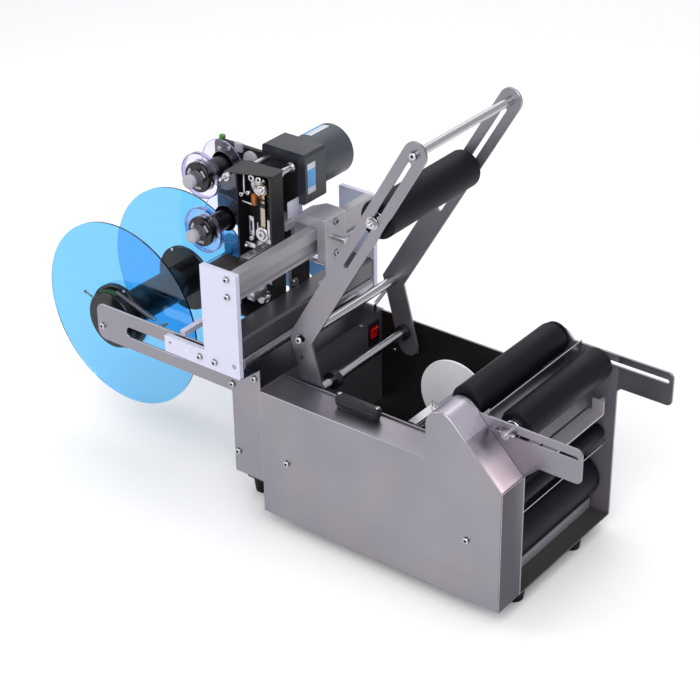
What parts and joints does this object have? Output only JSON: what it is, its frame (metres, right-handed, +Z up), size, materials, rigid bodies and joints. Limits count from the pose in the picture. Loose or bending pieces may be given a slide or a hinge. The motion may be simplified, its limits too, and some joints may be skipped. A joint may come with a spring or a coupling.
{
  "type": "bench labeling machine",
  "caption": "Bench machine that wraps labels round bottles between cushioned rollers, with swinging press arms, a label reel and a hot-stamp date coder.",
  "frame": {"origin": "centre of the bounding box in plan, on the plane under the feet", "axes": "+X out of the roller end, +Y from the housing to the plain wall, +Z up"},
  "size_m": [0.9567, 0.3346, 0.6555],
  "materials": {
    "steel_sheet": "satin",
    "box_steel": "satin",
    "bright_steel": "polished",
    "anodised": "matte",
    "roller_rubber": "satin",
    "foot_rubber": "matte",
    "belt_rubber": "matte",
    "black_metal": "satin",
    "motor_paint": "satin",
    "black_plastic": "matte",
    "red_plastic": "gloss",
    "white_plastic": "matte",
    "clear_blue": "gloss",
    "clear_violet": "gloss",
    "brass_rod": "satin",
    "pulley_alloy": "satin"
  },
  "bodies": {
    "frame": {"near_cover": "steel_sheet", "near_side_plate": "steel_sheet", "far_side_plate": "steel_sheet", "base_tray": "steel_sheet", "control_box": "box_steel", "power_inlet": "black_plastic", "rubber_feet": "foot_rubber", "machine_screws": "bright_steel", "ledge_handle": "black_plastic", "near_reel_arm": "steel_sheet", "far_reel_arm": "steel_sheet", "peel_plate": "steel_sheet", "sensor_bar": "steel_sheet", "drive_motor": "motor_paint", "drive_belt": "belt_rubber", "arm_pivot_shaft": "bright_steel", "shaft_collars": "black_metal", "return_spring": "bright_steel", "reel_shaft": "bright_steel", "brake_strap": "black_plastic", "brake_spring": "bright_steel", "near_head_plate": "anodised", "far_head_plate": "anodised", "front_rail": "anodised", "lower_rail": "anodised", "rear_cross_bar": "anodised", "head_spacers": "anodised"},
    "rocker": {"power_rocker": "red_plastic"},
    "fixed_roller": {"roller_a": "roller_rubber"},
    "adjustable_shaft": {"roller_b_shaft": "bright_steel"},
    "adjustable_roller": {"roller_b": "roller_rubber"},
    "near_wing": {"near_wing_nut": "bright_steel"},
    "far_wing": {"far_wing_nut": "bright_steel"},
    "guide": {"guide_roller": "roller_rubber"},
    "drive": {"drive_roller": "roller_rubber", "drive_shaft": "bright_steel"},
    "winder": {"winder_shaft": "bright_steel", "winder_disc": "white_plastic"},
    "motor_rotor": {"motor_pulley": "pulley_alloy"},
    "press_arms": {"near_press_arm": "steel_sheet", "far_press_arm": "steel_sheet", "tie_rod": "bright_steel", "handle_bar": "bright_steel"},
    "press_shaft": {"press_roller_shaft": "bright_steel"},
    "press_cylinder": {"press_roller": "roller_rubber"},
    "label_reel": {"reel_core": "black_plastic", "reel_discs": "clear_blue"},
    "head_tube": {"roller_tube": "anodised"},
    "carriage": {"clamp_block": "anodised", "coder_body": "black_metal", "coder_back_plate": "black_metal", "coder_posts": "bright_steel", "coder_gearbox": "motor_paint", "coder_motor": "motor_paint"},
    "clamp_screw": {"lock_screw": "bright_steel"},
    "crank": {"coder_crank": "bright_steel"},
    "rod": {"connecting_rod": "brass_rod"},
    "printer": {"print_head": "black_metal"},
    "upper_ribbon": {"upper_ribbon_reel": "clear_violet"},
    "lower_ribbon": {"lower_ribbon_reel": "clear_violet"}
  },
  "joints": [
    {"name": "rocker_tilt", "type": "hinge", "parent": "frame", "child": "rocker", "pos_m": [-0.02135, 0.12075, 0.203], "axis": [0, 1, 0], "range_deg": [-20, 0]},
    {"name": "fixed_roller_spin", "type": "hinge", "parent": "frame", "child": "fixed_roller", "pos_m": [0.29265, 0.02475, 0.298], "axis": [0, 1, 0], "continuous": true},
    {"name": "roller_gap_slide", "type": "slide", "parent": "frame", "child": "adjustable_shaft", "axis": [1, 0, 0], "range_m": [-0.006, 0.1]},
    {"name": "adjustable_roller_spin", "type": "hinge", "parent": "adjustable_shaft", "child": "adjustable_roller", "pos_m": [0.36465, 0.02475, 0.2805], "axis": [0, 1, 0], "continuous": true},
    {"name": "near_wing_turn", "type": "hinge", "parent": "adjustable_shaft", "child": "near_wing", "pos_m": [0.36465, -0.10225, 0.2805], "axis": [0, 1, 0], "continuous": true},
    {"name": "far_wing_turn", "type": "hinge", "parent": "adjustable_shaft", "child": "far_wing", "pos_m": [0.36465, 0.15175, 0.2805], "axis": [0, 1, 0], "continuous": true},
    {"name": "guide_roller_spin", "type": "hinge", "parent": "frame", "child": "guide", "pos_m": [0.36665, 0.02475, 0.164], "axis": [0, 1, 0], "continuous": true},
    {"name": "drive_roller_spin", "type": "hinge", "parent": "frame", "child": "drive", "pos_m": [0.34365, 0.02475, 0.083], "axis": [0, 1, 0], "continuous": true},
    {"name": "winder_spin", "type": "hinge", "parent": "frame", "child": "winder", "pos_m": [0.17765, -0.02825, 0.193], "axis": [0, 1, 0], "continuous": true},
    {"name": "motor_spin", "type": "hinge", "parent": "frame", "child": "motor_rotor", "pos_m": [0.06165, -0.11825, 0.075], "axis": [0, 1, 0], "continuous": true},
    {"name": "press_arm_swing", "type": "hinge", "parent": "frame", "child": "press_arms", "pos_m": [0.03165, 0.02475, 0.22], "axis": [0, 1, 0], "range_deg": [0, 44], "stiffness_Nm_per_rad": 6, "springref_deg": -31.51, "deforming": ["return_spring"]},
    {"name": "press_height_slide", "type": "slide", "parent": "press_arms", "child": "press_shaft", "axis": [-0.5052, 0, -0.863], "range_m": [-0.09, 0.085]},
    {"name": "press_roller_spin", "type": "hinge", "parent": "press_shaft", "child": "press_cylinder", "pos_m": [0.13895, 0.02475, 0.52186], "axis": [0, 1, 0], "continuous": true},
    {"name": "label_reel_spin", "type": "hinge", "parent": "frame", "child": "label_reel", "pos_m": [-0.32835, -0.02825, 0.237], "axis": [0, 1, 0], "continuous": true},
    {"name": "head_tube_spin", "type": "hinge", "parent": "frame", "child": "head_tube", "pos_m": [-0.05435, 0.00175, 0.267], "axis": [0, 1, 0], "continuous": true},
    {"name": "carriage_slide", "type": "slide", "parent": "frame", "child": "carriage", "axis": [0, 1, 0], "range_m": [-0.05, 0.06]},
    {"name": "clamp_screw_turn", "type": "hinge", "parent": "carriage", "child": "clamp_screw", "pos_m": [-0.01735, 0.03675, 0.4], "axis": [1, 0, 0], "continuous": true},
    {"name": "crank_turn", "type": "hinge", "parent": "carriage", "child": "crank", "pos_m": [-0.11735, -0.01325, 0.477], "axis": [0, 1, 0], "range_deg": [-40, 40]},
    {"name": "rod_swing", "type": "hinge", "parent": "crank", "child": "rod", "pos_m": [-0.10735, -0.02325, 0.477], "axis": [0, 1, 0], "range_deg": [-41, 41]},
    {"name": "print_stroke", "type": "slide", "parent": "carriage", "child": "printer", "axis": [0, 0, -1], "range_m": [-0.0064, 0.0064]},
    {"name": "upper_ribbon_spin", "type": "hinge", "parent": "carriage", "child": "upper_ribbon", "pos_m": [-0.19335, -0.03825, 0.488], "axis": [0, 1, 0], "continuous": true},
    {"name": "lower_ribbon_spin", "type": "hinge", "parent": "carriage", "child": "lower_ribbon", "pos_m": [-0.19335, -0.03825, 0.401], "axis": [0, 1, 0], "continuous": true}
  ],
  "couplings": [
    {"joint": "winder_spin", "follows": "drive_roller_spin", "ratio": 1},
    {"joint": "motor_spin", "follows": "drive_roller_spin", "ratio": 1.6667},
    {"joint": "rod_swing", "follows": "print_stroke", "rad_per_m": -108.7},
    {"joint": "crank_turn", "follows": "print_stroke", "rad_per_m": 108.7}
  ]
}
